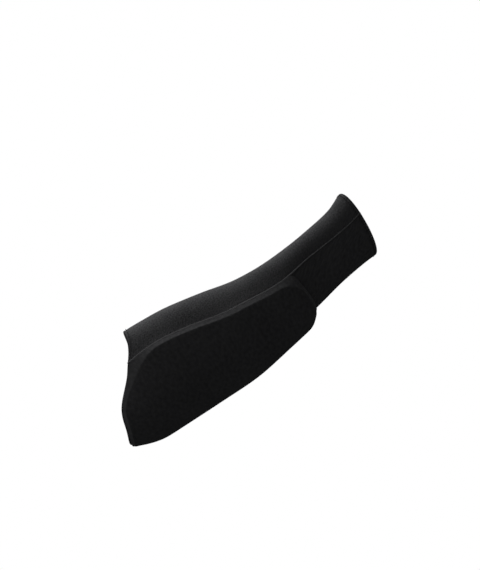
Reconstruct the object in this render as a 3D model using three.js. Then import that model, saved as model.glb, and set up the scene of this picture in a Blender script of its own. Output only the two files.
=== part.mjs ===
// A forearm pad: an elasticated knit sleeve, worn from the elbow's crease to the wrist, with a foam
// pad along the forearm's outer edge. It keeps the form that it has on the arm. Sizes are in millimetres.
// +X runs along the forearm from elbow to wrist, +Z is the thumb side and the pad is on the -Z side.
// The sleeve is alike on both sides of the XZ plane. The -Y side is called near, the +Y side far.
// The origin is on the forearm's axis, near the middle of the sleeve.
import * as THREE from "three";
import { mergeVertices } from "three/addons/utils/BufferGeometryUtils.js";

const { clamp, degToRad, lerp, mapLinear, radToDeg, smoothstep } = THREE.MathUtils;

// The knit: a plain wall, and at both rims a hem where the cloth is turned in once.
const KNIT_WALL = 1.6;
const HEM_WALL = 2.8;
const HEM_WIDTH = 5;
const HEM_FADE = 4;
const PIECE_GAP = 0.3;

// The sleeve's outer surface: each row is an ellipse square to X.
const SLEEVE_SECTIONS = [
  { x: -140, centreZ: 10, halfHeight: 45, halfDepth: 41 },
  { x: -94, centreZ: 8, halfHeight: 45, halfDepth: 42 },
  { x: -49, centreZ: 5, halfHeight: 44, halfDepth: 41 },
  { x: -12, centreZ: 0.5, halfHeight: 40.5, halfDepth: 38 },
  { x: 24, centreZ: -2, halfHeight: 34.5, halfDepth: 32 },
  { x: 61, centreZ: -1, halfHeight: 31, halfDepth: 28 },
  { x: 96, centreZ: 3, halfHeight: 29, halfDepth: 25 },
  { x: 128, centreZ: 6.5, halfHeight: 29.5, halfDepth: 26.5 },
  { x: 146, centreZ: 10, halfHeight: 32.5, halfDepth: 31 },
];

// The elbow rim runs from the crease on top to a tongue that covers the elbow's point below.
const ELBOW_RIM = [
  { degreesUp: -90, x: -139 },
  { degreesUp: -60, x: -136 },
  { degreesUp: -30, x: -129 },
  { degreesUp: 0, x: -108 },
  { degreesUp: 35, x: -92 },
  { degreesUp: 90, x: -87 },
];
const WRIST_X = 145;
const WRIST_LEAN = 3;

// The two seams lie a little above the forearm's sides. The pad's corner draws them down.
const SEAM_LINE = [
  { x: -103, degreesUp: 9 },
  { x: -74, degreesUp: 13.2 },
  { x: -42, degreesUp: 10.3 },
  { x: -8, degreesUp: 6 },
  { x: 16, degreesUp: 5.8 },
  { x: 50, degreesUp: 2.5 },
  { x: 78, degreesUp: 5.6 },
  { x: 110, degreesUp: 3.2 },
  { x: 145, degreesUp: 0 },
];
const SEAM_START_X = SEAM_LINE[0].x;
const SEAM_WIDTH = 1.4;
const SEAM_HEIGHT = 0.7;
const SEAM_EDGE = 0.4;

// The pad: its upper edges follow the seams, its elbow end follows the rim, and its wrist end is nearly
// square. A bevel runs from the outline up to a low crest. At each end the crest's corners are a quarter
// of an ellipse, by its reach along the sleeve and across it. From the crest the foam rises over a taper
// to its full thickness below the arm. Its thickness at an edge may differ below the arm.
const PAD_THICKNESS = 10;
const PAD_EDGE = 1;
const PAD_TAPER_ROUNDING = 1.25;
const PAD_RIM_INSET = 0.8;
const PAD_WRIST_X = 62;
const PAD_WRIST_BULGE = 3.8;
const PAD_SIDE = { bevel: 4.7, thickness: 3.4, thicknessBelow: 3.4, taper: 45 };
const PAD_ELBOW_END = {
  bevel: 2.2,
  outlineRadius: 5,
  crestAlong: 26,
  crestAcross: 29,
  thickness: 3,
  thicknessBelow: 1.5,
  taper: 27,
};
const PAD_WRIST_END = {
  bevel: 3,
  outlineRadius: 5,
  crestAlong: 16,
  crestAcross: 16,
  thickness: 2,
  thicknessBelow: 2,
  taper: 13,
};

// Steps of the faceted surfaces. Each long side has a tenth of its steps in the hem or bevel.
const ALONG_STEPS = 30;
const PANEL_ACROSS_STEPS = 18;
const PAD_ACROSS_STEPS = 30;
const SEAM_ACROSS_STEPS = 4;
const EDGE_SHARE = 0.1;
const PAD_END_STEPS = EDGE_SHARE * ALONG_STEPS;
const PAD_SETTLING_ROUNDS = 4;

const CHARCOAL = "#2f2f30";
const BLACK = "#161617";
const COVER_BLACK = "#141415";
const THREAD_GREY = "#333334";
const CLOTH_ROUGHNESS = 0.95;

// A smooth curve through a table's rows, from one named column to another.
function tableCurve(rows, from, to, ending) {
  const positions = rows.map((row) => row[from]);
  const values = rows.map((row) => row[to]);
  const curve = new THREE.CubicInterpolant(positions, values, 1);
  curve.settings = { endingStart: ending, endingEnd: ending };
  return (position) => curve.evaluate(position)[0];
}

const centreZAt = tableCurve(SLEEVE_SECTIONS, "x", "centreZ", THREE.ZeroCurvatureEnding);
const halfHeightAt = tableCurve(SLEEVE_SECTIONS, "x", "halfHeight", THREE.ZeroCurvatureEnding);
const halfDepthAt = tableCurve(SLEEVE_SECTIONS, "x", "halfDepth", THREE.ZeroCurvatureEnding);
const elbowRimAt = tableCurve(ELBOW_RIM, "degreesUp", "x", THREE.ZeroSlopeEnding);
const seamDegreesAt = tableCurve(SEAM_LINE, "x", "degreesUp", THREE.ZeroCurvatureEnding);

// Angles run round the sleeve from the near side, over the top, to the far side and underneath.
function elbowRim(angle) {
  const degreesUp = radToDeg(Math.asin(Math.sin(angle)));
  return elbowRimAt(degreesUp);
}

function wristRim(angle) {
  return WRIST_X + WRIST_LEAN * Math.sin(angle);
}

function seamAngle(x) {
  return degToRad(seamDegreesAt(clamp(x, SEAM_START_X, WRIST_X)));
}

// The angle that an arc of the given length takes up on the sleeve's outer surface.
function arcAngle(length, x) {
  return (2 * length) / (halfHeightAt(x) + halfDepthAt(x));
}

// A point at a distance outside the sleeve's outer surface, or inside it where that is negative.
function sleevePoint(x, angle, outside) {
  const halfHeight = halfHeightAt(x);
  const halfDepth = halfDepthAt(x);
  const normal = new THREE.Vector3(0, -Math.cos(angle) / halfDepth, Math.sin(angle) / halfHeight);
  const surface = new THREE.Vector3(
    x,
    -halfDepth * Math.cos(angle),
    centreZAt(x) + halfHeight * Math.sin(angle),
  );
  return surface.addScaledVector(normal.normalize(), outside);
}

// The distance from the start of a length at a share of its steps, with fine steps at both edges.
function spread(share, length, startEdge, endEdge) {
  if (share < EDGE_SHARE) {
    return (share / EDGE_SHARE) * startEdge;
  }
  if (share > 1 - EDGE_SHARE) {
    return length - ((1 - share) / EDGE_SHARE) * endEdge;
  }
  return mapLinear(share, EDGE_SHARE, 1 - EDGE_SHARE, startEdge, length - endEdge);
}

// A closed slab: a box whose shares along, across and through it are placed on a curved surface.
function bentBox(acrossSteps, place) {
  const box = new THREE.BoxGeometry(1, 1, 1, ALONG_STEPS, acrossSteps, 1);
  box.deleteAttribute("normal");
  box.deleteAttribute("uv");
  const slab = mergeVertices(box);
  const points = slab.getAttribute("position");
  const share = new THREE.Vector3();
  for (let i = 0; i < points.count; i += 1) {
    share.fromBufferAttribute(points, i).addScalar(0.5);
    const point = place(share.x, share.y, share.z > 0.5);
    points.setXYZ(i, point.x, point.y, point.z);
  }
  slab.computeVertexNormals();
  return slab;
}

// A knit panel between two angles, each a function of the place along the seam.
function panel(startAngle, endAngle) {
  const hemZone = HEM_WIDTH + HEM_FADE;
  return bentBox(PANEL_ACROSS_STEPS, (along, across, isOutside) => {
    const seamX = SEAM_START_X + spread(along, WRIST_X - SEAM_START_X, hemZone, hemZone);
    const angle = lerp(startAngle(seamX), endAngle(seamX), across);
    const elbowX = elbowRim(angle);
    const length = wristRim(angle) - elbowX;
    const fromElbow = spread(along, length, hemZone, hemZone);
    const fromRim = Math.min(fromElbow, length - fromElbow);
    const wall = lerp(HEM_WALL, KNIT_WALL, smoothstep(fromRim, HEM_WIDTH, hemZone));
    return sleevePoint(elbowX + fromElbow, angle, isOutside ? 0 : -wall);
  });
}

function upperPanel() {
  const nearEdge = (x) => seamAngle(x) + arcAngle(PIECE_GAP / 2, x);
  return panel(nearEdge, (x) => Math.PI - nearEdge(x));
}

function lowerPanel() {
  const nearEdge = (x) => seamAngle(x) - arcAngle(PIECE_GAP / 2, x);
  return panel((x) => Math.PI - nearEdge(x), (x) => 2 * Math.PI + nearEdge(x));
}

// A low welt along the line where the panels meet, on the near side or mirrored to the far side.
function seamWelt(isNear) {
  return bentBox(SEAM_ACROSS_STEPS, (along, across, isOutside) => {
    const x = lerp(SEAM_START_X, WRIST_X, along);
    const fromMiddle = 2 * across - 1;
    const crown = lerp(SEAM_HEIGHT, SEAM_EDGE, fromMiddle * fromMiddle);
    const middle = isNear ? seamAngle(x) : Math.PI - seamAngle(x);
    const angle = middle + arcAngle((fromMiddle * SEAM_WIDTH) / 2, x);
    return sleevePoint(x, angle, isOutside ? PIECE_GAP + crown : PIECE_GAP);
  });
}

// How far a rounded corner cuts into the end of the pad, at a distance from its side.
function cornerCut(radius, fromSide) {
  const past = Math.max(radius - fromSide, 0);
  return radius - Math.sqrt(radius * radius - past * past);
}

// The share of the way from the pad's outline, where it is 0, up its bevel to the crest, where it is 1.
function bevelShare(end, fromEnd, fromSide) {
  const intoCorner = end.bevel + end.crestAlong - fromEnd;
  const asideCorner = PAD_SIDE.bevel + end.crestAcross - fromSide;
  if (intoCorner <= 0 || asideCorner <= 0) {
    return clamp(Math.min(fromEnd / end.bevel, fromSide / PAD_SIDE.bevel), 0, 1);
  }
  // In the corner, the share is taken along the line from the middle of the crest's ellipse.
  const toOutline = Math.min(
    (end.bevel + end.crestAlong) / intoCorner,
    (PAD_SIDE.bevel + end.crestAcross) / asideCorner,
  );
  const toCrest = 1 / Math.hypot(intoCorner / end.crestAlong, asideCorner / end.crestAcross);
  return toCrest >= 1 ? 1 : (toOutline - 1) / (toOutline - toCrest);
}

// The foam's thickness at a distance from an edge: its taper rounds over a little where it stops.
function foamThickness(edge, fromEdge, below) {
  const atEdge = lerp(edge.thickness, edge.thicknessBelow, below * below);
  const toFull = 1 - clamp(fromEdge / edge.taper, 0, 1);
  return lerp(PAD_THICKNESS, atEdge, toFull ** PAD_TAPER_ROUNDING);
}

function pad() {
  const sideGap = SEAM_WIDTH / 2 + PIECE_GAP;
  const elbowZone = PAD_END_STEPS * PAD_ELBOW_END.bevel;
  const wristZone = PAD_END_STEPS * PAD_WRIST_END.bevel;
  return bentBox(PAD_ACROSS_STEPS, (along, across, isOutside) => {
    let x = lerp(elbowRim(0), PAD_WRIST_X, along);
    let angle = 0;
    let fromSide = 0;
    let elbowX = 0;
    let wristX = 0;
    let below = 0;
    // The place along and the angle depend on each other, and settle in a few rounds.
    for (let round = 0; round < PAD_SETTLING_ROUNDS; round += 1) {
      const nearEdge = seamAngle(x) - arcAngle(sideGap, x);
      const span = Math.PI + 2 * nearEdge;
      const width = span / arcAngle(1, x);
      const fromFar = spread(across, width, PAD_SIDE.bevel, PAD_SIDE.bevel);
      fromSide = Math.min(fromFar, width - fromFar);
      angle = Math.PI - nearEdge + arcAngle(fromFar, x);
      elbowX = elbowRim(angle) + PAD_RIM_INSET;
      below = Math.max(-Math.sin(angle), 0);
      wristX = PAD_WRIST_X + PAD_WRIST_BULGE * below;
      const startX = elbowX + cornerCut(PAD_ELBOW_END.outlineRadius, fromSide);
      const endX = wristX - cornerCut(PAD_WRIST_END.outlineRadius, fromSide);
      x = startX + spread(along, endX - startX, elbowZone, wristZone);
    }
    const elbowShare = bevelShare(PAD_ELBOW_END, x - elbowX, fromSide);
    const wristShare = bevelShare(PAD_WRIST_END, wristX - x, fromSide);
    const thickness = Math.min(
      foamThickness(PAD_ELBOW_END, x - elbowX, below),
      foamThickness(PAD_WRIST_END, wristX - x, below),
      foamThickness(PAD_SIDE, fromSide, below),
    );
    const height = lerp(PAD_EDGE, thickness, Math.min(elbowShare, wristShare));
    return sleevePoint(x, angle, isOutside ? PIECE_GAP + height : PIECE_GAP);
  });
}

function cloth(name, geometry, colour) {
  const material = new THREE.MeshStandardMaterial({
    color: colour,
    roughness: CLOTH_ROUGHNESS,
    metalness: 0,
  });
  const mesh = new THREE.Mesh(geometry, material);
  mesh.name = name;
  return mesh;
}

const forearmPad = new THREE.Group();
forearmPad.add(
  cloth("upper_panel", upperPanel(), CHARCOAL),
  cloth("lower_panel", lowerPanel(), BLACK),
  cloth("pad", pad(), COVER_BLACK),
  cloth("near_seam", seamWelt(true), THREAD_GREY),
  cloth("far_seam", seamWelt(false), THREAD_GREY),
);

export default forearmPad;
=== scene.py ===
import math

import bpy
import numpy as np
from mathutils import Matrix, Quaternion, Vector, noise


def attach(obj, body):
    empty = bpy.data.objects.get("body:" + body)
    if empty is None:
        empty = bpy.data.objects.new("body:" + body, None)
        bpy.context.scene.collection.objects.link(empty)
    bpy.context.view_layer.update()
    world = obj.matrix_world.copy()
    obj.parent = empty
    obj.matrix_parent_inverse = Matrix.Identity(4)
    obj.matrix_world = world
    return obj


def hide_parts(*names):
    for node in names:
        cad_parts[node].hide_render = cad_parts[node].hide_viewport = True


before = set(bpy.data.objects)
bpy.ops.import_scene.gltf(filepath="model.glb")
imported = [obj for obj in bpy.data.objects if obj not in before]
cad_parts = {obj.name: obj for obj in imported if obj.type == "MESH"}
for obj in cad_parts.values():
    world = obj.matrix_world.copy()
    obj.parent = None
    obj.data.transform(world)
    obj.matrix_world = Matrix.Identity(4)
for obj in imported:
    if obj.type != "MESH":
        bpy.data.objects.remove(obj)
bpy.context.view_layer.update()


# The lower panel: a black cotton and elastane knit, cut to taper with the forearm and worn stretched.
# It carries the pad. At both rims the cloth is turned in once and stitched down as a hem.
MM = 0.001
KNIT_WALL = 1.6 * MM
HEM_WALL = 2.8 * MM
HEM_WIDTH = 5 * MM
HEM_STEP = 1.2 * MM
HEM_STITCH_LINE = 3.4 * MM
HEM_GROOVE = 0.4 * MM
HEM_GROOVE_WIDTH = 1.1 * MM
PIECE_GAP = 0.3 * MM

# The sleeve's outer surface, with the same rows as the part's source: ellipses square to X.
SLEEVE_SECTIONS = (
    # x, centre_z, half_height, half_depth, in millimetres
    (-140, 10.0, 45.0, 41.0),
    (-94, 8.0, 45.0, 42.0),
    (-49, 5.0, 44.0, 41.0),
    (-12, 0.5, 40.5, 38.0),
    (24, -2.0, 34.5, 32.0),
    (61, -1.0, 31.0, 28.0),
    (96, 3.0, 29.0, 25.0),
    (128, 6.5, 29.5, 26.5),
    (146, 10.0, 32.5, 31.0),
)
ELBOW_RIM = (
    # degrees_up, x in millimetres
    (-90, -139.0),
    (-60, -136.0),
    (-30, -129.0),
    (0, -108.0),
    (35, -92.0),
    (90, -87.0),
)
WRIST_X = 145 * MM
WRIST_LEAN = 3 * MM
SEAM_LINE = (
    # x in millimetres, degrees_up
    (-103, 9.0),
    (-74, 13.2),
    (-42, 10.3),
    (-8, 6.0),
    (16, 5.8),
    (50, 2.5),
    (78, 5.6),
    (110, 3.2),
    (145, 0.0),
)


def smooth_curve(places, values, is_flat_at_ends):
    """A curve through the values, whose slope at each place is that between its neighbours."""
    slopes = np.zeros_like(values)
    slopes[1:-1] = (values[2:] - values[:-2]) / (places[2:] - places[:-2])
    if not is_flat_at_ends:
        # These slopes leave the curve's ends with no bend.
        steps = np.diff(values) / np.diff(places)
        slopes[0] = 1.5 * steps[0] - 0.5 * slopes[1]
        slopes[-1] = 1.5 * steps[-1] - 0.5 * slopes[-2]

    def curve(place):
        place = np.clip(place, places[0], places[-1])
        i = np.clip(np.searchsorted(places, place) - 1, 0, len(places) - 2)
        width = places[i + 1] - places[i]
        t = (place - places[i]) / width
        start = (1 + 2 * t) * (1 - t) ** 2 * values[i] + t * (1 - t) ** 2 * width * slopes[i]
        end = t * t * (3 - 2 * t) * values[i + 1] - t * t * (1 - t) * width * slopes[i + 1]
        return start + end

    return curve


section_x, section_centre, section_height, section_depth = np.array(SLEEVE_SECTIONS).T * MM
centre_z = smooth_curve(section_x, section_centre, is_flat_at_ends=False)
half_height = smooth_curve(section_x, section_height, is_flat_at_ends=False)
half_depth = smooth_curve(section_x, section_depth, is_flat_at_ends=False)
rim_degrees, rim_x = np.array(ELBOW_RIM).T
elbow_rim_curve = smooth_curve(rim_degrees, rim_x * MM, is_flat_at_ends=True)


def elbow_rim(angle):
    """Where the sleeve starts. Angles run from the near side, over the top, to the far side and below."""
    return elbow_rim_curve(np.degrees(np.arcsin(np.sin(angle))))


def wrist_rim(angle):
    return WRIST_X + WRIST_LEAN * np.sin(angle)


seam_x, seam_degrees = np.array(SEAM_LINE).T
seam_curve = smooth_curve(seam_x * MM, seam_degrees, is_flat_at_ends=False)
SEAM_START_X = seam_x[0] * MM


def seam_angle(x):
    """Where the seams lie: a little above the forearm's sides, and drawn down by the pad's corner."""
    return np.radians(seam_curve(x))


def arc_angle(length, x):
    """The angle that an arc of a length takes up on the sleeve's outer surface."""
    return 2 * length / (half_height(x) + half_depth(x))


def sleeve_normal(x, angle):
    normal = np.stack([0 * x, -np.cos(angle) / half_depth(x), np.sin(angle) / half_height(x)], -1)
    return normal / np.linalg.norm(normal, axis=-1, keepdims=True)


def sleeve_point(x, angle, outside):
    """Points at a distance outside the sleeve's outer surface."""
    across = -half_depth(x) * np.cos(angle)
    up = centre_z(x) + half_height(x) * np.sin(angle)
    return np.stack([x, across, up], -1) + np.expand_dims(outside, -1) * sleeve_normal(x, angle)


def smooth_step(value, low, high):
    share = np.clip((value - low) / (high - low), 0, 1)
    return share * share * (3 - 2 * share)


SHARP_EDGE = math.radians(60)


def new_piece(name, points, faces, uv=None, other_yarn_and_painted_light=None):
    """A smooth mesh object on the part's body.

    A cloth piece has a UV map in metres of cloth, and the share of its other yarn and painted light at
    each point.
    """
    mesh = bpy.data.meshes.new(name)
    mesh.from_pydata(points.reshape(-1, 3).tolist(), [], faces)
    mesh.shade_smooth()
    mesh.set_sharp_from_angle(angle=SHARP_EDGE)
    if uv is not None:
        corners = np.empty(len(mesh.loops), dtype=np.int32)
        mesh.loops.foreach_get("vertex_index", corners)
        cloth = mesh.uv_layers.new(name="cloth")
        cloth.data.foreach_set("uv", uv.reshape(-1, 2)[corners].ravel())
        yarns = mesh.attributes.new("other_yarn_and_painted_light", "FLOAT", "POINT")
        yarns.data.foreach_set("value", other_yarn_and_painted_light.astype(np.float32).ravel())
    piece = bpy.data.objects.new(name, mesh)
    bpy.context.scene.collection.objects.link(piece)
    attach(piece, "root")
    return piece


def strip_faces(first, second):
    """Quads between two rows of points, given by their numbers."""
    return [[first[i], second[i], second[i + 1], first[i + 1]] for i in range(len(first) - 1)]


PANEL_ALONG_STEPS = 250
RIM_STEPS = 7
PUCKER_DEPTH = 0.15 * MM
PUCKER_PITCH = 8 * MM
PUCKER_REACH = 4 * MM
UNDULATION = 0.5 * MM
UNDULATION_SIZE = 34 * MM
# Between these places the sleeve changes toward the wrist: a hollow fades out, and painted shade, in
# the other yarn's black, takes over beside the seams.
CHANGE_START_X = 30 * MM
CHANGE_END_X = 75 * MM
# A hollow beside a seam: the distances from the seam where it is deepest and where it ends.
HOLLOW_DEEPEST = 10 * MM
HOLLOW_END = 40 * MM
# The material turns shares of the other yarn and painted light between these two into none to all of it.
OTHER_YARN_AND_LIGHT_NONE = 0.4
OTHER_YARN_AND_LIGHT_ALL = 0.6
# Painted shade, in the other yarn's black, darkens the rims' turned edge, and the cloth beside the seams,
# where it fades with distance.
RIM_SHADE_EDGE = 1.2 * MM
RIM_SHADE_FADE = 2 * MM
BESIDE_SEAM_SHADE_SHARE = 0.9
SEAM_SHADE_NEAR = 5 * MM
SEAM_SHADE_FAR = 19 * MM


def panel_loop():
    """The closed line round the cloth's section, outside and back inside, from elbow to wrist.

    Each point is a share of the panel's length with an offset from it, and a depth below the surface.
    """
    radius = HEM_WALL / 2
    shares = np.linspace(0, 1, PANEL_ALONG_STEPS)
    turns = np.linspace(0, math.pi, RIM_STEPS + 2)[1:-1]
    flat = np.zeros_like(shares)
    turn = np.zeros_like(turns)
    share = np.concatenate([shares, turn + 1, shares[::-1], turn])
    wrist_turn = radius * np.sin(turns) - radius
    offset = np.concatenate(
        [radius * (1 - 2 * shares), wrist_turn, radius * (1 - 2 * shares[::-1]), -wrist_turn]
    )
    round_depth = radius - radius * np.cos(turns)
    depth = np.concatenate([flat, round_depth, flat + HEM_WALL, round_depth[::-1]])
    is_inside = np.concatenate([flat, turn, flat + 1, turn])
    is_hidden = np.concatenate([flat, turn + 1, flat + 1, turn + 1])
    return share, offset, depth, is_inside, is_hidden


def panel_faces(number):
    """The faces of a panel, whose points are numbered in rows round the line of panel_loop."""
    faces = []
    for row in range(len(number)):
        faces += strip_faces(number[row - 1].tolist(), number[row].tolist())
    outside = number[:PANEL_ALONG_STEPS]
    inside = number[PANEL_ALONG_STEPS + RIM_STEPS : 2 * PANEL_ALONG_STEPS + RIM_STEPS][::-1]
    wrist_round = number[PANEL_ALONG_STEPS - 1 : PANEL_ALONG_STEPS + RIM_STEPS + 1]
    elbow_round = np.concatenate([number[2 * PANEL_ALONG_STEPS + RIM_STEPS - 1 :], number[:1]])
    faces += strip_faces(outside[:, 0].tolist(), inside[:, 0].tolist())
    faces += strip_faces(inside[:, -1].tolist(), outside[:, -1].tolist())
    for round_end in (wrist_round, elbow_round):
        faces += [round_end[:, 0].tolist(), round_end[::-1, -1].tolist()]
    return faces


def knit_panel(name, start_angle, end_angle, across_steps, hollow_depth=0.0):
    """A knit panel between two seam lines, with round hems, puckers at the seams and a soft unevenness.

    Beside the pad the cloth may rise to the seams out of a shallow hollow.
    """
    share, offset, depth, is_inside, is_hidden = (column[:, None] for column in panel_loop())
    across = np.linspace(0, 1, across_steps + 1)
    along_seam = SEAM_START_X + share * (WRIST_X - SEAM_START_X)
    start = start_angle(along_seam)
    end = end_angle(along_seam)
    angle = start + across * (end - start)
    length = wrist_rim(angle) - elbow_rim(angle)
    from_elbow = share * length + offset
    x = elbow_rim(angle) + from_elbow
    from_rim = np.minimum(from_elbow, length - from_elbow)

    thinning = (HEM_WALL - KNIT_WALL) * smooth_step(from_rim, HEM_WIDTH, HEM_WIDTH + HEM_STEP)
    groove = HEM_GROOVE * np.exp(-(((from_rim - HEM_STITCH_LINE) / HEM_GROOVE_WIDTH) ** 2))
    from_seam = np.minimum(angle - start, end - angle) / arc_angle(1, x)
    pull = np.exp(-((from_seam / PUCKER_REACH) ** 2))
    puckers = PUCKER_DEPTH * pull * (0.5 + 0.5 * np.sin(2 * math.pi * x / PUCKER_PITCH))
    smooth = sleeve_point(x, angle, 0 * x)
    waves = [noise.noise(Vector(p) / UNDULATION_SIZE) for p in smooth.reshape(-1, 3).tolist()]
    undulation = UNDULATION * np.clip(0.5 - np.reshape(waves, x.shape), 0, 1) * (1 - pull)
    relief = (1 - is_inside) * (groove + puckers + undulation)
    toward_wrist = smooth_step(x, CHANGE_START_X, CHANGE_END_X)
    fall = 1 - np.clip(1 - from_seam / HOLLOW_DEEPEST, 0, 1) ** 2
    return_rise = smooth_step(from_seam, HOLLOW_DEEPEST, HOLLOW_END)
    hollow = hollow_depth * (1 - toward_wrist) * (fall - return_rise)
    points = sleeve_point(x, angle, is_inside * thinning - depth - relief - hollow)

    from_middle = (angle - (start + end) / 2) / arc_angle(1, x)
    uv = np.stack([from_middle, np.broadcast_to(from_elbow, x.shape)], -1)
    # Painted shade: the other yarn's black darkens the cloth beside the seams toward the wrist, and the
    # rims' turned edge.
    beside_seam = 1 - smooth_step(from_seam, SEAM_SHADE_NEAR, SEAM_SHADE_FAR)
    seam_shade_share = BESIDE_SEAM_SHADE_SHARE * toward_wrist * beside_seam
    seam_shade_yarn = OTHER_YARN_AND_LIGHT_NONE + (OTHER_YARN_AND_LIGHT_ALL - OTHER_YARN_AND_LIGHT_NONE) * seam_shade_share
    rim_shade_yarn = 0.5 + (RIM_SHADE_EDGE - from_rim) / RIM_SHADE_FADE
    other_yarn_and_painted_light = np.clip(np.maximum(rim_shade_yarn, seam_shade_yarn) + is_hidden, 0, 1)
    number = np.arange(x.size).reshape(x.shape)
    return new_piece(name, points, panel_faces(number), uv, other_yarn_and_painted_light)


def lower_near_edge(x):
    return seam_angle(x) - arc_angle(PIECE_GAP / 2, x)


lower_panel = knit_panel(
    "lower_panel_knit",
    start_angle=lambda x: math.pi - lower_near_edge(x),
    end_angle=lambda x: 2 * math.pi + lower_near_edge(x),
    across_steps=140,
)


def linear(hex_colour):
    """The linear colour of an sRGB hex value, with its alpha."""
    shares = [int(hex_colour[i : i + 2], 16) / 255 for i in (1, 3, 5)]
    return [s / 12.92 if s <= 0.04045 else ((s + 0.055) / 1.055) ** 2.4 for s in shares] + [1.0]


def add_node(tree, kind, inputs, **settings):
    """Adds a node with its settings. An input is a value, or the socket that feeds it."""
    made = tree.nodes.new(kind)
    for name, value in settings.items():
        setattr(made, name, value)
    for place, value in inputs.items():
        if isinstance(value, bpy.types.NodeSocket):
            tree.links.new(value, made.inputs[place])
        else:
            made.inputs[place].default_value = value
    return made


LOOP_HEIGHT = 0.4 * MM
PATCH_SIZE = 40 * MM
PATCH_WEIGHT = 0.4
# The sums of flecks and patches at which a yarn has its dark and its pale shade.
DARK_SUM = 0.45
PALE_SUM = 0.95


def knit_material(name, yarn, other_yarn_and_painted_light, wale, course, relief, fleck):
    """A matt jersey knit: columns of V-shaped loops, in a yarn of two close shades that lie in flecks.

    The other yarn shows where the mesh says so, such as inside; on some pieces it carries painted shade
    and painted light. The real loops and flecks are about 0.7 mm wide. They are drawn about twice as
    wide or more, so that they show.
    """
    material = bpy.data.materials.new(name)
    material.use_nodes = True
    tree = material.node_tree
    tree.nodes.clear()
    cloth = add_node(tree, "ShaderNodeUVMap", {}, uv_map="cloth").outputs["UV"]
    place = add_node(tree, "ShaderNodeSeparateXYZ", {0: cloth})
    column = add_node(
        tree, "ShaderNodeMath", {0: place.outputs["X"], 1: 1 / wale}, operation="MULTIPLY"
    )
    # A column's two legs slant to its middle line, and each is highest along its own middle.
    slant = add_node(tree, "ShaderNodeMath", {0: column.outputs[0], 1: 0.5}, operation="PINGPONG")
    legs = add_node(tree, "ShaderNodeMath", {0: column.outputs[0], 1: 0.25}, operation="PINGPONG")
    row = add_node(
        tree,
        "ShaderNodeMath",
        {0: place.outputs["Y"], 1: 1 / course, 2: slant.outputs[0]},
        operation="MULTIPLY_ADD",
    )
    turn = add_node(tree, "ShaderNodeMath", {0: row.outputs[0], 1: 0.5}, operation="PINGPONG")
    loops = add_node(
        tree,
        "ShaderNodeMath",
        {0: legs.outputs[0], 1: 2.0, 2: turn.outputs[0]},
        operation="MULTIPLY_ADD",
    )
    flecks = add_node(
        tree, "ShaderNodeTexNoise", {"Vector": cloth, "Scale": 1 / fleck, "Detail": 2.0}
    )
    patches = add_node(
        tree, "ShaderNodeTexNoise", {"Vector": cloth, "Scale": 1 / PATCH_SIZE, "Detail": 3.0}
    )
    blend = add_node(
        tree,
        "ShaderNodeMath",
        {0: patches.outputs["Fac"], 1: PATCH_WEIGHT, 2: flecks.outputs["Fac"]},
        operation="MULTIPLY_ADD",
    )
    shade = add_node(
        tree,
        "ShaderNodeMapRange",
        {"Value": blend.outputs[0], "From Min": DARK_SUM, "From Max": PALE_SUM},
    )
    yarn_shades = [
        add_node(
            tree,
            "ShaderNodeMix",
            {"Factor": shade.outputs["Result"], "A": linear(dark), "B": linear(pale)},
            data_type="RGBA",
        ).outputs["Result"]
        for dark, pale in (yarn, other_yarn_and_painted_light)
    ]
    # The other yarn's share also carries painted shade and painted light.
    side = add_node(tree, "ShaderNodeAttribute", {}, attribute_name="other_yarn_and_painted_light")
    is_other = add_node(
        tree,
        "ShaderNodeMapRange",
        {"Value": side.outputs["Fac"], "From Min": OTHER_YARN_AND_LIGHT_NONE, "From Max": OTHER_YARN_AND_LIGHT_ALL},
    )
    colour = add_node(
        tree,
        "ShaderNodeMix",
        {"Factor": is_other.outputs["Result"], "A": yarn_shades[0], "B": yarn_shades[1]},
        data_type="RGBA",
    )
    bump = add_node(
        tree,
        "ShaderNodeBump",
        {"Strength": relief, "Distance": LOOP_HEIGHT, "Height": loops.outputs[0]},
    )
    surface = add_node(
        tree,
        "ShaderNodeBsdfPrincipled",
        {
            "Base Color": colour.outputs["Result"],
            "Roughness": 0.9,
            "IOR": 1.5,
            "Specular IOR Level": 0.0,
            "Normal": bump.outputs["Normal"],
        },
    )
    add_node(tree, "ShaderNodeOutputMaterial", {"Surface": surface.outputs["BSDF"]})
    return material


# Black cotton knit: it swallows nearly all the light, so that its loops show only faintly.
BLACK_YARN = ("#262627", "#343435")
black_knit = knit_material(
    "black_cotton_knit",
    yarn=BLACK_YARN,
    other_yarn_and_painted_light=BLACK_YARN,
    wale=1.5 * MM,
    course=1.2 * MM,
    relief=0.5,
    fleck=3 * MM,
)
lower_panel.data.materials.append(black_knit)
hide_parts("lower_panel")


# The pad: about 10 mm of closed-cell foam with bevelled edges, in a cover of close black knit.
# The cover is sewn into both seams and stitched to the lower panel at its ends. The foam is modelled
# a little thin, because its cover swells over it in a simulation.
PAD_THICKNESS = 9.7 * MM
PAD_EDGE = 1 * MM
PAD_TAPER_ROUNDING = 1.25
PAD_RIM_INSET = 0.8 * MM
PAD_WRIST_X = 62 * MM
PAD_WRIST_BULGE = 3.8 * MM
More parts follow.
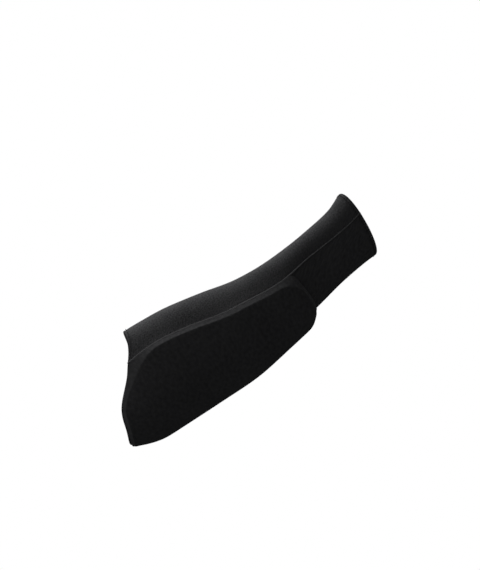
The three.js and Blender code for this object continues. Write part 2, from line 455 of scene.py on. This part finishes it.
# The crest, where the bevel meets the face, has rounder corners than the outline: parts of ellipses.
# From the crest the foam rises over a taper, and its thickness at an edge may differ below the arm.
PAD_SIDE = {
    "bevel": 4.7 * MM,
    "thickness": 3.4 * MM,
    "thickness_below": 3.4 * MM,
    "taper": 45 * MM,
}
PAD_ELBOW_END = {
    "bevel": 2.2 * MM,
    "outline_radius": 5 * MM,
    "crest_along": 26 * MM,
    "crest_across": 29 * MM,
    "thickness": 3 * MM,
    "thickness_below": 1.5 * MM,
    "taper": 27 * MM,
}
PAD_WRIST_END = {
    "bevel": 3 * MM,
    "outline_radius": 5 * MM,
    "crest_along": 16 * MM,
    "crest_across": 16 * MM,
    "thickness": 2 * MM,
    "thickness_below": 2 * MM,
    "taper": 13 * MM,
}
SEAM_WIDTH = 1.4 * MM
COVER_GAP = 0.1 * MM
PAD_ALONG_STEPS = 110
PAD_ACROSS_STEPS = 90
EDGE_SHARE = 0.1
PAD_END_ZONE = 8 * MM
PAD_SETTLING_ROUNDS = 4


def spread(share, length, start_edge, end_edge):
    """The distance at a share of the steps of a length, a tenth of which are in each edge."""
    from_start = start_edge * share / EDGE_SHARE
    from_end = length - end_edge * (1 - share) / EDGE_SHARE
    middle = (share - EDGE_SHARE) / (1 - 2 * EDGE_SHARE)
    between = start_edge + middle * (length - start_edge - end_edge)
    return np.where(share < EDGE_SHARE, from_start, np.where(share > 1 - EDGE_SHARE, from_end, between))


def corner_cut(radius, from_side):
    """How far a round corner draws an end back, by the distance from the side."""
    past = np.maximum(radius - from_side, 0)
    return radius - np.sqrt(radius * radius - past * past)


def bevel_share(end, from_end, from_side):
    """The share of the way up the bevel, from 0 on the outline to 1 on the crest and more inside it."""
    straight = np.minimum(from_end / end["bevel"], from_side / PAD_SIDE["bevel"])
    into_corner = end["bevel"] + end["crest_along"] - from_end
    aside_corner = PAD_SIDE["bevel"] + end["crest_across"] - from_side
    in_corner = (into_corner > 0) & (aside_corner > 0)
    into_corner = np.where(in_corner, into_corner, 1)
    aside_corner = np.where(in_corner, aside_corner, 1)
    # In the corner, the share is taken along the line from the middle of the crest's ellipse.
    to_outline = np.minimum(
        (end["bevel"] + end["crest_along"]) / into_corner,
        (PAD_SIDE["bevel"] + end["crest_across"]) / aside_corner,
    )
    to_crest = 1 / np.hypot(into_corner / end["crest_along"], aside_corner / end["crest_across"])
    rounded = (to_outline - 1) / np.maximum(to_outline - to_crest, 1e-9)
    return np.clip(np.where(in_corner, rounded, straight), 0, 2)


def foam_thickness(edge, from_edge, below):
    """The pad's thickness by the distance from an edge, and by how far below the arm it lies."""
    at_edge = edge["thickness"] + (edge["thickness_below"] - edge["thickness"]) * below**2
    to_full = 1 - np.clip(from_edge / edge["taper"], 0, 1)
    return PAD_THICKNESS + (at_edge - PAD_THICKNESS) * to_full**PAD_TAPER_ROUNDING


def pad_places():
    """The place along, the angle, the height and the bevel's share of each point of the pad's face."""
    along = np.linspace(0, 1, PAD_ALONG_STEPS + 1)[:, None]
    across = np.linspace(0, 1, PAD_ACROSS_STEPS + 1)[None, :]
    x = float(elbow_rim(0)) + along * (PAD_WRIST_X - float(elbow_rim(0))) + 0 * across
    # The place along and the angle depend on each other, and settle in a few rounds.
    for _ in range(PAD_SETTLING_ROUNDS):
        near_edge = seam_angle(x) - arc_angle(SEAM_WIDTH / 2 + COVER_GAP, x)
        width = (math.pi + 2 * near_edge) / arc_angle(1, x)
        from_far = spread(across, width, PAD_SIDE["bevel"], PAD_SIDE["bevel"])
        from_side = np.minimum(from_far, width - from_far)
        angle = math.pi - near_edge + arc_angle(from_far, x)
        below = np.maximum(-np.sin(angle), 0)
        elbow_x = elbow_rim(angle) + PAD_RIM_INSET
        wrist_x = PAD_WRIST_X + PAD_WRIST_BULGE * below
        start_x = elbow_x + corner_cut(PAD_ELBOW_END["outline_radius"], from_side)
        end_x = wrist_x - corner_cut(PAD_WRIST_END["outline_radius"], from_side)
        x = start_x + spread(along, end_x - start_x, PAD_END_ZONE, PAD_END_ZONE)
    elbow_share = bevel_share(PAD_ELBOW_END, x - elbow_x, from_side)
    wrist_share = bevel_share(PAD_WRIST_END, wrist_x - x, from_side)
    share = np.minimum(elbow_share, wrist_share)
    at_ends = np.minimum(
        foam_thickness(PAD_ELBOW_END, x - elbow_x, below),
        foam_thickness(PAD_WRIST_END, wrist_x - x, below),
    )
    thickness = np.minimum(at_ends, foam_thickness(PAD_SIDE, from_side, below))
    height = PAD_EDGE + (thickness - PAD_EDGE) * np.minimum(share, 1)
    return x, angle, height, share


def foam_pad(name):
    """A closed pad on the sleeve's surface: its face, its base and a low wall between their edges."""
    x, angle, height, share = pad_places()
    face = sleeve_point(x, angle, PIECE_GAP + height)
    base = sleeve_point(x, angle, PIECE_GAP + 0 * height)
    rows, columns = x.shape
    top = np.arange(rows * columns).reshape(rows, columns)
    under = top + rows * columns
    faces = []
    for row in range(rows - 1):
        faces += strip_faces(top[row].tolist(), top[row + 1].tolist())
        faces += strip_faces(under[row + 1].tolist(), under[row].tolist())
    for face_edge, base_edge in (
        (top[0], under[0]),
        (top[:, -1], under[:, -1]),
        (top[-1, ::-1], under[-1, ::-1]),
        (top[::-1, 0], under[::-1, 0]),
    ):
        faces += strip_faces(base_edge.tolist(), face_edge.tolist())
    from_middle = (angle - 1.5 * math.pi) / arc_angle(1, x)
    uv = np.tile(np.stack([from_middle, x], -1).reshape(-1, 2), (2, 1))
    points = np.concatenate([face.reshape(-1, 3), base.reshape(-1, 3)])
    # The band's paler yarn takes over at the crest, on the bevel's side, and paints part of the light on
    # the bevel.
    band_and_painted_light = 0.5 + (1 - share)
    return new_piece(name, points, faces, uv, other_yarn_and_painted_light=np.tile(band_and_painted_light.ravel(), 2))


# The mesh is fine and the run short, so that it takes a high pressure to move the cover.
COVER_PRESSURE = 1500.0
COVER_STIFFNESS = 5.0
SWELL_STEPS = 12
SWELL_LIMIT = 0.8 * MM
# Inside the crest the cover comes free between these shares of the way up the bevel.
HELD_SHARE = 1.0
FREE_SHARE = 1.6


def swell_cover(piece, free):
    """Lets a cover swell over its foam for a few steps of simulation, held where it isn't free."""
    held = piece.vertex_groups.new(name="held")
    for point, share in enumerate(free.tolist()):
        held.add([point], 1 - share, "REPLACE")
    simulation = piece.modifiers.new("swell", "CLOTH")
    cloth = simulation.settings
    cloth.vertex_group_mass = held.name
    cloth.tension_stiffness = COVER_STIFFNESS
    cloth.compression_stiffness = COVER_STIFFNESS
    cloth.shear_stiffness = COVER_STIFFNESS
    cloth.use_pressure = True
    cloth.uniform_pressure_force = COVER_PRESSURE
    cloth.effector_weights.gravity = 0
    for step in range(1, SWELL_STEPS + 1):
        bpy.context.scene.frame_set(step)
    swollen = piece.evaluated_get(bpy.context.evaluated_depsgraph_get())
    start = np.array([vertex.co for vertex in piece.data.vertices])
    move = np.array([vertex.co for vertex in swollen.data.vertices]) - start
    reach = np.linalg.norm(move, axis=1, keepdims=True)
    move *= SWELL_LIMIT / np.maximum(reach, SWELL_LIMIT)
    piece.modifiers.remove(simulation)
    bpy.context.scene.frame_set(1)
    piece.data.vertices.foreach_set("co", (start + move).ravel())
    piece.data.update()


pad = foam_pad("pad_cushion")
_, _, _, share_up_bevel = pad_places()
inside_crest = smooth_step(share_up_bevel.ravel(), HELD_SHARE, FREE_SHARE)
swell_cover(pad, free=np.concatenate([inside_crest, 0 * inside_crest]))
finer = pad.modifiers.new("finer", "SUBSURF")
finer.levels = 1
finer.render_levels = 1

# Close polyester knit: smoother and a little blacker than the sleeve's cotton. Its bevel has a band
# of plain charcoal, as dark as the upper panel, whose paleness is partly painted light on the bevel.
COVER_YARN = ("#262627", "#323233")
BAND_AND_PAINTED_LIGHT_YARN = ("#303031", "#3c3c3d")
cover_knit = knit_material(
    "black_polyester_knit",
    yarn=COVER_YARN,
    other_yarn_and_painted_light=BAND_AND_PAINTED_LIGHT_YARN,
    wale=1.3 * MM,
    course=1.0 * MM,
    relief=0.35,
    fleck=3 * MM,
)
pad.data.materials.append(cover_knit)
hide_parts("pad")


# The upper panel: the same knit in charcoal, over the thumb side, from the elbow's crease to the wrist.
# It is joined to the lower panel along both sides, and hemmed as that is.
def upper_near_edge(x):
    return seam_angle(x) + arc_angle(PIECE_GAP / 2, x)


upper_panel = knit_panel(
    "upper_panel_knit",
    start_angle=upper_near_edge,
    end_angle=lambda x: math.pi - upper_near_edge(x),
    across_steps=110,
    hollow_depth=0.9 * MM,
)
# Charcoal cotton knit: mixed dark and grey yarn, so that it looks finely speckled. Black is painted
# inside it and on the rims' turned edge as shade, which shows as a dark line along the rims, and beside
# the seams toward the wrist as painted shade.
CHARCOAL_YARN = ("#272728", "#434344")
charcoal_knit = knit_material(
    "charcoal_cotton_knit",
    yarn=CHARCOAL_YARN,
    other_yarn_and_painted_light=BLACK_YARN,
    wale=1.5 * MM,
    course=1.2 * MM,
    relief=0.6,
    fleck=1.5 * MM,
)
upper_panel.data.materials.append(charcoal_knit)
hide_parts("upper_panel")


# The two seams: the panels' edges are overlocked together, which leaves a low welt on the outside.
# Polyester thread wraps over the welt in short slanted stitches. Beside the pad the seam takes in
# the cover too, so that the welt is fuller there, and leans on the pad.
SEAM_HEIGHT = 0.7 * MM
SEAM_LEAN = 0.6 * MM
SEAM_SINK = 0.2 * MM
SEAM_END_GAP = 0.4 * MM
PLAIN_SEAM_SHARE = 0.65
PLAIN_SEAM_START_X = PAD_WRIST_X - 4 * MM
PLAIN_SEAM_FULL_X = PAD_WRIST_X + 12 * MM
WELT_ALONG_STEPS = 400
WELT_ROUND_STEPS = 8
THREAD = 0.45 * MM
THREAD_SIDES = 6
THREAD_TIP = 0.15
WRAP_PITCH = 0.8 * MM
WRAP_SLANT = 1 * MM
WRAP_END_GAP = 2 * MM
WRAP_STEPS = 8
# How far below the seam's height the welt's body ends, and the middle of the thread over it lies.
WELT_BODY_DROP = THREAD / 3
WRAP_DROP = THREAD / 4


def thread_tubes(centres, outward, thickness):
    """Round threads along rows of points, drawn in to a point at both ends, as points and faces."""
    along = np.gradient(centres, axis=1)
    side = np.cross(along, outward)
    side /= np.linalg.norm(side, axis=-1, keepdims=True)
    up = np.cross(side, along)
    up /= np.linalg.norm(up, axis=-1, keepdims=True)
    count, rings, _ = centres.shape
    shares = np.linspace(-1, 1, rings)
    radius = thickness / 2 * np.maximum(1 - shares**4, THREAD_TIP) ** 0.5
    turns = np.arange(THREAD_SIDES) * 2 * math.pi / THREAD_SIDES
    ring = np.cos(turns)[:, None] * side[:, :, None] + np.sin(turns)[:, None] * up[:, :, None]
    points = centres[:, :, None] + radius[:, None, None] * ring
    number = np.arange(count * rings * THREAD_SIDES).reshape(count, rings, THREAD_SIDES)
    closed = np.concatenate([number, number[:, :, :1]], axis=2).tolist()
    faces = []
    for tube in closed:
        for first, second in zip(tube, tube[1:]):
            faces += strip_faces(first, second)
        faces += [tube[0][:-1][::-1], tube[-1][:-1]]
    return points.reshape(-1, 3), faces


def seam_fullness(x):
    """The share of its full width and height that a seam has, which falls past the pad's wrist end."""
    return 1 - (1 - PLAIN_SEAM_SHARE) * smooth_step(x, PLAIN_SEAM_START_X, PLAIN_SEAM_FULL_X)


def seam_welt(name, is_near):
    """A welt of sewn cloth along a seam, with the thread that wraps over it."""
    x = np.linspace(SEAM_START_X + SEAM_END_GAP, WRIST_X - SEAM_END_GAP, WELT_ALONG_STEPS)[:, None]
    turns = np.linspace(0, 2 * math.pi, WELT_ROUND_STEPS, endpoint=False)
    across = seam_fullness(x) * (SEAM_WIDTH / 2 * np.cos(turns) - SEAM_LEAN * np.sin(turns))
    body_top = PIECE_GAP + seam_fullness(x) * SEAM_HEIGHT - WELT_BODY_DROP
    up = (body_top + SEAM_SINK) * (1 + np.sin(turns)) / 2 - SEAM_SINK

    def welt_point(x, across, outside):
        near_angle = seam_angle(x) + arc_angle(across, x)
        angle = near_angle if is_near else math.pi - near_angle
        return sleeve_point(x, angle, outside), sleeve_normal(x, angle)

    points, _ = welt_point(x + 0 * across, across, up)
    number = np.arange(points.shape[0] * WELT_ROUND_STEPS).reshape(-1, WELT_ROUND_STEPS)
    closed = np.concatenate([number, number[:, :1]], axis=1).tolist()
    faces = [closed[0][:-1], closed[-1][:-1][::-1]]
    for first, second in zip(closed, closed[1:]):
        faces += strip_faces(second, first)

    share = np.linspace(-1, 1, WRAP_STEPS + 1)
    wrap_starts = np.arange(SEAM_START_X + WRAP_END_GAP, WRIST_X - WRAP_END_GAP, WRAP_PITCH)
    wrap_x = wrap_starts[:, None] + WRAP_SLANT * share / 2
    arch = np.sqrt(np.maximum(1 - share**2, 0.01))
    fullness = seam_fullness(wrap_x)
    wrap_across = fullness * (SEAM_WIDTH / 2 * share - SEAM_LEAN * arch)
    wrap_top = PIECE_GAP + fullness * SEAM_HEIGHT - WRAP_DROP
    wrap_up = (wrap_top + SEAM_SINK) * arch - SEAM_SINK
    centres, outward = welt_point(wrap_x, wrap_across, wrap_up)
    wraps, wrap_faces = thread_tubes(centres, outward, THREAD)
    start = points.shape[0] * WELT_ROUND_STEPS
    faces += [[start + corner for corner in face] for face in wrap_faces]
    return new_piece(name, np.concatenate([points.reshape(-1, 3), wraps]), faces)


FIBRE_SIZE = 0.6 * MM
FIBRE_HEIGHT = 0.1 * MM


def thread_material(name, colour, pale_colour):
    """Spun polyester thread: matt and fibrous, uneven in shade."""
    material = bpy.data.materials.new(name)
    material.use_nodes = True
    tree = material.node_tree
    tree.nodes.clear()
    place = add_node(tree, "ShaderNodeTexCoord", {}).outputs["Object"]
    fibres = add_node(
        tree, "ShaderNodeTexNoise", {"Vector": place, "Scale": 1 / FIBRE_SIZE, "Detail": 2.0}
    )
    shade = add_node(
        tree,
        "ShaderNodeMix",
        {"Factor": fibres.outputs["Fac"], "A": linear(colour), "B": linear(pale_colour)},
        data_type="RGBA",
    )
    bump = add_node(
        tree,
        "ShaderNodeBump",
        {"Strength": 0.3, "Distance": FIBRE_HEIGHT, "Height": fibres.outputs["Fac"]},
    )
    surface = add_node(
        tree,
        "ShaderNodeBsdfPrincipled",
        {
            "Base Color": shade.outputs["Result"],
            "Roughness": 0.85,
            "IOR": 1.55,
            "Specular IOR Level": 0.0,
            "Normal": bump.outputs["Normal"],
        },
    )
    add_node(tree, "ShaderNodeOutputMaterial", {"Surface": surface.outputs["BSDF"]})
    return material


# Charcoal thread: a shade paler than the cloth, and paler still as a painted gloss, so that the seam
# shows as a fine line.
seam_thread_and_painted_gloss = thread_material("charcoal_thread_and_painted_gloss", "#3e3e3f", "#4e4e4f")
for node, is_near in (("near_seam", True), ("far_seam", False)):
    welt = seam_welt(node + "_welt", is_near)
    welt.data.materials.append(seam_thread_and_painted_gloss)
    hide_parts(node)


# The hems' stitches: a row of short polyester stitches round each rim, sewn by machine.
# They hold the turned-in cloth, and each one dips into the knit at both ends.
STITCH_LENGTH = 2.4 * MM
STITCH_GAP = 0.7 * MM
STITCH_STEPS = 6
STITCH_ARCH = 0.9
HEM_ROUND_STEPS = 720


def stitch_row(name, path, outward, material):
    """A row of stitches along a path of points, each arched over the cloth and sunk at both ends."""
    run = np.concatenate([[0], np.cumsum(np.linalg.norm(np.diff(path, axis=0), axis=1))])
    starts = np.arange(0, run[-1] - STITCH_LENGTH, STITCH_LENGTH + STITCH_GAP)
    shares = np.linspace(0, 1, STITCH_STEPS + 1)
    reach = starts[:, None] + STITCH_LENGTH * shares
    middle = np.stack([np.interp(reach, run, path[:, axis]) for axis in range(3)], -1)
    up = np.stack([np.interp(reach, run, outward[:, axis]) for axis in range(3)], -1)
    lift = THREAD * STITCH_ARCH * (np.sin(math.pi * shares) - 0.5)
    points, faces = thread_tubes(middle + lift[:, None] * up, up, THREAD)
    row = new_piece(name, points, faces)
    row.data.materials.append(material)
    return row


# Black thread: a shade blacker than the cloth that it lies in, so that the rows show only close up.
hem_thread = thread_material("black_polyester_thread", "#1a1a1b", "#242425")
round_angle = np.linspace(0, 2 * math.pi, HEM_ROUND_STEPS)
for name, x in (
    ("elbow_hem_stitches", elbow_rim(round_angle) + HEM_STITCH_LINE),
    ("wrist_hem_stitches", wrist_rim(round_angle) - HEM_STITCH_LINE),
):
    path = sleeve_point(x, round_angle, 0 * x - HEM_GROOVE / 2)
    stitch_row(name, path, sleeve_normal(x, round_angle), hem_thread)


# The stage: a pale floor well below the part, which is worn and not stood on anything.
# A broad soft light shines from above and behind, a small weak one on the elbow's end, and a weak
# even light from all round.
FLOOR_Z = -0.42
FLOOR_SIZE = 30.0

floor_mesh = bpy.data.meshes.new("floor")
half_floor = FLOOR_SIZE / 2
floor_mesh.from_pydata(
    [(x * half_floor, y * half_floor, FLOOR_Z) for x, y in ((-1, -1), (1, -1), (1, 1), (-1, 1))],
    [],
    [(0, 1, 2, 3)],
)
floor = bpy.data.objects.new("floor", floor_mesh)
bpy.context.scene.collection.objects.link(floor)
# The floor throws no light back up at the part.
floor.visible_diffuse = False
floor_paint = bpy.data.materials.new("matt_white_paint")
floor_paint.use_nodes = True
floor_shader = floor_paint.node_tree.nodes["Principled BSDF"]
floor_shader.inputs["Base Color"].default_value = linear("#c9c9c9")
floor_shader.inputs["Roughness"].default_value = 0.9
floor_mesh.materials.append(floor_paint)


def soft_light(name, place, aim, size, watts):
    lamp = bpy.data.lights.new(name, "AREA")
    lamp.shape = "DISK"
    lamp.size = size
    lamp.energy = watts
    light = bpy.data.objects.new(name, lamp)
    light.location = place
    light.rotation_mode = "QUATERNION"
    light.rotation_quaternion = (Vector(aim) - Vector(place)).to_track_quat("-Z", "Y")
    bpy.context.scene.collection.objects.link(light)


soft_light("broad_light", place=(0.48, 0.71, 0.95), aim=(0, 0, 0), size=1.4, watts=102)
soft_light("elbow_light", place=(-0.4, -0.2, 0.18), aim=(-0.06, 0, 0), size=0.2, watts=0.35)

# The camera sees plain white all round, and the part gets a weaker light from it.
ROOM_LIGHT = 0.25
room = bpy.data.worlds.new("white_room")
room.use_nodes = True
tree = room.node_tree
tree.nodes.clear()
ray = add_node(tree, "ShaderNodeLightPath", {})
even = add_node(tree, "ShaderNodeBackground", {"Color": (1, 1, 1, 1), "Strength": ROOM_LIGHT})
white = add_node(tree, "ShaderNodeBackground", {"Color": (1, 1, 1, 1), "Strength": 1.0})
seen = add_node(
    tree,
    "ShaderNodeMixShader",
    {0: ray.outputs["Is Camera Ray"], 1: even.outputs[0], 2: white.outputs[0]},
)
add_node(tree, "ShaderNodeOutputWorld", {"Surface": seen.outputs[0]})
bpy.context.scene.world = room
bpy.context.scene.view_settings.view_transform = "Standard"


# The camera: a little below the part and to its elbow side, turned so that the forearm rises to the
# right. It is set by a pixel's size at the part and by where one point of the part lies in the image.
CAMERA_AZIMUTH = math.radians(-10)
CAMERA_ELEVATION = math.radians(-15)
CAMERA_DISTANCE = 1.25
FOREARM_SLOPE = math.radians(35)
IMAGE_HEIGHT = 570
METRES_PER_PIXEL = 0.895 * MM
SENSOR = 36.0
# This point of the part lies this many pixels right of the image's middle, and this many below it.
ANCHOR = Vector((16, 0, 1)) * MM
ANCHOR_RIGHT = 10
ANCHOR_DOWN = 27

back = Vector(
    (
        math.sin(CAMERA_AZIMUTH) * math.cos(CAMERA_ELEVATION),
        -math.cos(CAMERA_AZIMUTH) * math.cos(CAMERA_ELEVATION),
        math.sin(CAMERA_ELEVATION),
    )
)
level = (-back).to_track_quat("-Z", "Y")
forearm = level.inverted() @ Vector((1, 0, 0))
roll = FOREARM_SLOPE - math.atan2(forearm.y, forearm.x)
turned = level @ Quaternion((0, 0, 1), -roll)
anchor_offset = turned @ Vector((ANCHOR_RIGHT, -ANCHOR_DOWN, 0)) * METRES_PER_PIXEL

camera_data = bpy.data.cameras.new("camera")
camera_data.sensor_width = SENSOR
camera_data.lens = SENSOR * CAMERA_DISTANCE / (IMAGE_HEIGHT * METRES_PER_PIXEL)
camera = bpy.data.objects.new("camera", camera_data)
camera.rotation_mode = "QUATERNION"
camera.rotation_quaternion = turned
camera.location = ANCHOR - anchor_offset + back * CAMERA_DISTANCE
bpy.context.scene.collection.objects.link(camera)
bpy.context.scene.camera = camera
